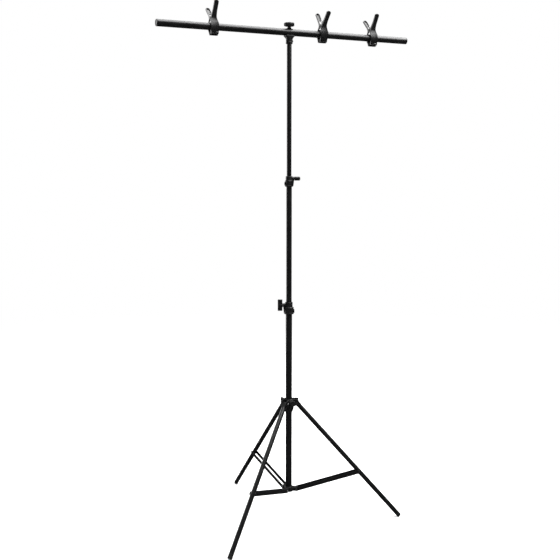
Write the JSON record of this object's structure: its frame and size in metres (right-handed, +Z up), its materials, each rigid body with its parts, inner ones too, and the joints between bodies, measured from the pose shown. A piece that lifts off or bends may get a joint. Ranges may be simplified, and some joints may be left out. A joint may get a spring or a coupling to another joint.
{
  "type": "backdrop stand",
  "caption": "T-shaped backdrop stand: folding tripod, telescoping column with wing-knob collars, crossbar in a saddle, and spring clamps that slide along it.",
  "frame": {"origin": "on the floor, under the middle of the bounding box", "axes": "+X along the crossbar to its right end, +Y away from the front, +Z up along the column"},
  "size_m": [0.912, 0.6322, 1.7473],
  "materials": {
    "black_paint": "satin black powder coat",
    "black_plastic": "matte moulded, fine grain",
    "clamp_plastic": "satin moulded",
    "rubber": "matte",
    "zinc_steel": "zinc plated, slightly dull"
  },
  "bodies": {
    "base": {"bottom_tube": "black_paint", "lower_collar": "black_plastic", "brace_hub": "black_plastic", "brace_hub_pin_right": "zinc_steel", "brace_hub_pin_front": "zinc_steel", "brace_hub_pin_back": "zinc_steel"},
    "leg_carriage": {"leg_collar": "black_plastic", "leg_pivot_right": "zinc_steel", "leg_pivot_front": "zinc_steel", "leg_pivot_back": "zinc_steel"},
    "leg_carriage_knob": {"leg_collar_knob": "black_plastic"},
    "lower_lock_knob": {"lower_collar_knob": "black_plastic"},
    "middle_section": {"middle_tube": "black_paint", "middle_tube_bush": "black_plastic", "upper_collar": "black_plastic"},
    "upper_lock_knob": {"upper_collar_knob": "black_plastic"},
    "top_section": {"top_tube": "black_paint", "top_tube_bush": "black_plastic"},
    "crossbar_head": {"bar_saddle": "black_plastic", "saddle_stud": "zinc_steel", "crossbar": "black_paint", "crossbar_cap_left": "black_plastic", "crossbar_cap_right": "black_plastic"},
    "head_knob": {"bar_knob": "black_plastic"},
    "leg_right": {"leg_tube_right": "black_paint", "leg_foot_right": "rubber", "leg_plug_right": "black_plastic", "brace_leg_pin_right": "zinc_steel"},
    "brace_right": {"brace_bar_right_a": "black_paint", "brace_bar_right_b": "black_paint"},
    "leg_front": {"leg_tube_front": "black_paint", "leg_foot_front": "rubber", "leg_plug_front": "black_plastic", "brace_leg_pin_front": "zinc_steel"},
    "brace_front": {"brace_bar_front_a": "black_paint", "brace_bar_front_b": "black_paint"},
    "leg_back": {"leg_tube_back": "black_paint", "leg_foot_back": "rubber", "leg_plug_back": "black_plastic", "brace_leg_pin_back": "zinc_steel"},
    "brace_back": {"brace_bar_back_a": "black_paint", "brace_bar_back_b": "black_paint"},
    "clamp_left": {"clamp_left_pin": "zinc_steel", "clamp_left_spring": "zinc_steel"},
    "clamp_left_front": {"clamp_left_front_lever": "clamp_plastic"},
    "clamp_left_back": {"clamp_left_back_lever": "clamp_plastic"},
    "clamp_left_front_jaw_pad": {"clamp_left_front_pad": "rubber"},
    "clamp_left_back_jaw_pad": {"clamp_left_back_pad": "rubber"},
    "clamp_middle": {"clamp_middle_pin": "zinc_steel", "clamp_middle_spring": "zinc_steel"},
    "clamp_middle_front": {"clamp_middle_front_lever": "clamp_plastic"},
    "clamp_middle_back": {"clamp_middle_back_lever": "clamp_plastic"},
    "clamp_middle_front_jaw_pad": {"clamp_middle_front_pad": "rubber"},
    "clamp_middle_back_jaw_pad": {"clamp_middle_back_pad": "rubber"},
    "clamp_right": {"clamp_right_pin": "zinc_steel", "clamp_right_spring": "zinc_steel"},
    "clamp_right_front": {"clamp_right_front_lever": "clamp_plastic"},
    "clamp_right_back": {"clamp_right_back_lever": "clamp_plastic"},
    "clamp_right_front_jaw_pad": {"clamp_right_front_pad": "rubber"},
    "clamp_right_back_jaw_pad": {"clamp_right_back_pad": "rubber"}
  },
  "joints": [
    {"name": "leg_collar_slide", "type": "slide", "parent": "base", "child": "leg_carriage", "axis": [0, 0, 1], "range_m": [0, 0.2493]},
    {"name": "leg_right_fold", "type": "hinge", "parent": "leg_carriage", "child": "leg_right", "pos_m": [0.02465, -0.09027, 0.416], "axis": [0.4083, 0.9128, 0], "range_deg": [0, 41.6]},
    {"name": "brace_right_fold", "type": "hinge", "parent": "base", "child": "brace_right", "pos_m": [0.02465, -0.09027, 0.1055], "axis": [-0.4083, -0.9128, 0], "range_deg": [0, 74.2]},
    {"name": "leg_front_fold", "type": "hinge", "parent": "leg_carriage", "child": "leg_front", "pos_m": [-0.02187, -0.09508, 0.416], "axis": [0.5864, -0.81, 0], "range_deg": [0, 41.6]},
    {"name": "brace_front_fold", "type": "hinge", "parent": "base", "child": "brace_front", "pos_m": [-0.02187, -0.09508, 0.1055], "axis": [-0.5864, 0.81, 0], "range_deg": [0, 74.2]},
    {"name": "leg_back_fold", "type": "hinge", "parent": "leg_carriage", "child": "leg_back", "pos_m": [-0.00278, -0.05239, 0.416], "axis": [-0.9947, -0.1028, 0], "range_deg": [0, 41.6]},
    {"name": "brace_back_fold", "type": "hinge", "parent": "base", "child": "brace_back", "pos_m": [-0.00278, -0.05239, 0.1055], "axis": [0.9947, 0.1028, 0], "range_deg": [0, 74.2]},
    {"name": "leg_collar_knob_turn", "type": "hinge", "parent": "leg_carriage", "child": "leg_carriage_knob", "pos_m": [0, -0.07924, 0.42], "axis": [-0.0715, -0.9974, 0], "continuous": true},
    {"name": "lower_lock_knob_turn", "type": "hinge", "parent": "base", "child": "lower_lock_knob", "pos_m": [0, -0.07924, 0.758], "axis": [-0.8988, 0.4384, 0], "continuous": true},
    {"name": "middle_section_slide", "type": "slide", "parent": "base", "child": "middle_section", "axis": [0, 0, 1], "range_m": [-0.388, 0.171]},
    {"name": "upper_lock_knob_turn", "type": "hinge", "parent": "middle_section", "child": "upper_lock_knob", "pos_m": [0, -0.07924, 1.189], "axis": [0.8988, -0.4384, 0], "continuous": true},
    {"name": "top_section_slide", "type": "slide", "parent": "middle_section", "child": "top_section", "axis": [0, 0, 1], "range_m": [-0.425, 0.14]},
    {"name": "head_swivel", "type": "hinge", "parent": "top_section", "child": "crossbar_head", "pos_m": [0, -0.07924, 1.64], "axis": [0, 0, 1], "continuous": true},
    {"name": "head_knob_turn", "type": "hinge", "parent": "crossbar_head", "child": "head_knob", "pos_m": [0, -0.07924, 1.694], "axis": [0, 0, 1], "continuous": true},
    {"name": "clamp_left_slide", "type": "slide", "parent": "crossbar_head", "child": "clamp_left", "axis": [1, 0, 0], "range_m": [-0.15, 0.23]},
    {"name": "clamp_left_front_open", "type": "hinge", "parent": "clamp_left", "child": "clamp_left_front", "pos_m": [-0.267, -0.07477, 1.69564], "axis": [-1, 0, 0], "range_deg": [0, 18], "stiffness_Nm_per_rad": 0.4, "springref_deg": -34.38},
    {"name": "clamp_left_back_open", "type": "hinge", "parent": "clamp_left", "child": "clamp_left_back", "pos_m": [-0.267, -0.07477, 1.69564], "axis": [1, 0, 0], "range_deg": [0, 18], "stiffness_Nm_per_rad": 0.4, "springref_deg": -34.38},
    {"name": "clamp_left_front_pad_swivel", "type": "hinge", "parent": "clamp_left_front", "child": "clamp_left_front_jaw_pad", "pos_m": [-0.267, -0.08821, 1.64767], "axis": [1, 0, 0], "range_deg": [-8, 8]},
    {"name": "clamp_left_back_pad_swivel", "type": "hinge", "parent": "clamp_left_back", "child": "clamp_left_back_jaw_pad", "pos_m": [-0.267, -0.07715, 1.64588], "axis": [1, 0, 0], "range_deg": [-8, 8]},
    {"name": "clamp_middle_slide", "type": "slide", "parent": "crossbar_head", "child": "clamp_middle", "axis": [1, 0, 0], "range_m": [-0.08, 0.07]},
    {"name": "clamp_middle_front_open", "type": "hinge", "parent": "clamp_middle", "child": "clamp_middle_front", "pos_m": [0.124, -0.08066, 1.69596], "axis": [-1, 0, 0], "range_deg": [0, 18], "stiffness_Nm_per_rad": 0.4, "springref_deg": -34.38},
    {"name": "clamp_middle_back_open", "type": "hinge", "parent": "clamp_middle", "child": "clamp_middle_back", "pos_m": [0.124, -0.08066, 1.69596], "axis": [1, 0, 0], "range_deg": [0, 18], "stiffness_Nm_per_rad": 0.4, "springref_deg": -34.38},
    {"name": "clamp_middle_front_pad_swivel", "type": "hinge", "parent": "clamp_middle_front", "child": "clamp_middle_front_jaw_pad", "pos_m": [0.124, -0.08375, 1.64624], "axis": [1, 0, 0], "range_deg": [-8, 8]},
    {"name": "clamp_middle_back_pad_swivel", "type": "hinge", "parent": "clamp_middle_back", "child": "clamp_middle_back_jaw_pad", "pos_m": [0.124, -0.07256, 1.64681], "axis": [1, 0, 0], "range_deg": [-8, 8]},
    {"name": "clamp_right_slide", "type": "slide", "parent": "crossbar_head", "child": "clamp_right", "axis": [1, 0, 0], "range_m": [-0.07, 0.09]},
    {"name": "clamp_right_front_open", "type": "hinge", "parent": "clamp_right", "child": "clamp_right_front", "pos_m": [0.3174, -0.07549, 1.69575], "axis": [-1, 0, 0], "range_deg": [0, 18], "stiffness_Nm_per_rad": 0.4, "springref_deg": -34.38},
    {"name": "clamp_right_back_open", "type": "hinge", "parent": "clamp_right", "child": "clamp_right_back", "pos_m": [0.3174, -0.07549, 1.69575], "axis": [1, 0, 0], "range_deg": [0, 18], "stiffness_Nm_per_rad": 0.4, "springref_deg": -34.38},
    {"name": "clamp_right_front_pad_swivel", "type": "hinge", "parent": "clamp_right_front", "child": "clamp_right_front_jaw_pad", "pos_m": [0.3174, -0.08768, 1.64744], "axis": [1, 0, 0], "range_deg": [-8, 8]},
    {"name": "clamp_right_back_pad_swivel", "type": "hinge", "parent": "clamp_right_back", "child": "clamp_right_back_jaw_pad", "pos_m": [0.3174, -0.07658, 1.64594], "axis": [1, 0, 0], "range_deg": [-8, 8]}
  ],
  "couplings": [
    {"joint": "leg_right_fold", "follows": "leg_collar_slide", "rad_per_m": 2.9054},
    {"joint": "brace_right_fold", "follows": "leg_collar_slide", "rad_per_m": 5.1936},
    {"joint": "leg_front_fold", "follows": "leg_collar_slide", "rad_per_m": 2.9054},
    {"joint": "brace_front_fold", "follows": "leg_collar_slide", "rad_per_m": 5.1936},
    {"joint": "leg_back_fold", "follows": "leg_collar_slide", "rad_per_m": 2.9054},
    {"joint": "brace_back_fold", "follows": "leg_collar_slide", "rad_per_m": 5.1936},
    {"joint": "clamp_left_back_open", "follows": "clamp_left_front_open", "ratio": 1},
    {"joint": "clamp_middle_back_open", "follows": "clamp_middle_front_open", "ratio": 1},
    {"joint": "clamp_right_back_open", "follows": "clamp_right_front_open", "ratio": 1}
  ]
}
